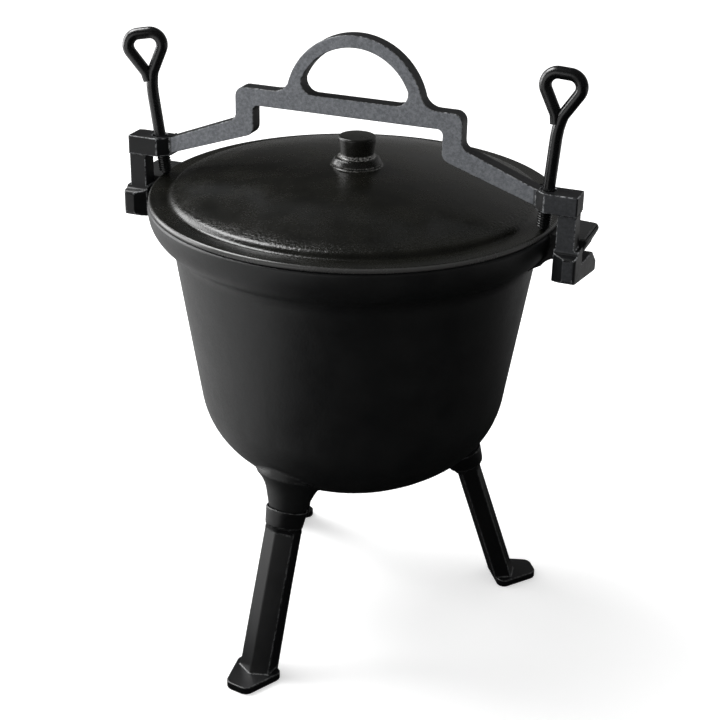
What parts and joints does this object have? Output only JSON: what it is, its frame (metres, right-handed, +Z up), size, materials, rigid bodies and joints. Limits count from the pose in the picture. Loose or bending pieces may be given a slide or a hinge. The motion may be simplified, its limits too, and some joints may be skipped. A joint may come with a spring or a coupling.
{
  "type": "campfire kettle",
  "caption": "Cast-iron three-legged campfire kettle: round-bellied pot, domed lid with a knob, and a handled clamp yoke whose hooks catch the ears while its eye screws press the lid down.",
  "frame": {"origin": "on the ground, on the axis of the pot", "axes": "+Z up along the pot's axis, +X towards the right ear, -Y towards the front, the side on which the clamp yoke stands"},
  "size_m": [0.35, 0.3056, 0.4624],
  "materials": {
    "seasoned_iron": "oiled satin black",
    "lid_iron": "oiled satin black",
    "yoke_iron": "rough as cast, black",
    "forged_rod": "semi-gloss black",
    "leg_iron": "semi-gloss black",
    "steel": "dull steel"
  },
  "bodies": {
    "pot": {"pot": "seasoned_iron", "leg_front": "leg_iron", "leg_right": "leg_iron", "leg_back": "leg_iron", "leg_stud_front": "steel", "leg_stud_right": "steel", "leg_stud_back": "steel"},
    "lid": {"lid": "lid_iron", "lid_knob": "lid_iron", "knob_screw": "steel"},
    "clamp_yoke": {"clamp_yoke": "yoke_iron"},
    "left_eye_screw": {"left_eye_screw": "forged_rod"},
    "right_eye_screw": {"right_eye_screw": "forged_rod"}
  },
  "joints": [
    {"name": "lid_turn", "type": "hinge", "parent": "pot", "child": "lid", "pos_m": [0, 0, 0.339], "axis": [0, 0, 1], "continuous": true},
    {"name": "clamp_drop", "type": "slide", "parent": "pot", "child": "clamp_yoke", "axis": [0, 0, -1], "range_m": [0, 0.0025]},
    {"name": "left_screw_turn", "type": "hinge", "parent": "pot", "child": "left_eye_screw", "pos_m": [-0.1446, -0.0187, 0.34345], "axis": [-0.1426, 0, 0.9898], "range_deg": [0, 520]},
    {"name": "right_screw_turn", "type": "hinge", "parent": "pot", "child": "right_eye_screw", "pos_m": [0.1446, -0.0187, 0.34345], "axis": [0.0698, 0, 0.9976], "range_deg": [0, 520]}
  ],
  "couplings": [
    {"joint": "left_screw_turn", "follows": "clamp_drop", "rad_per_m": 3553.7},
    {"joint": "right_screw_turn", "follows": "clamp_drop", "rad_per_m": 3581.7}
  ]
}
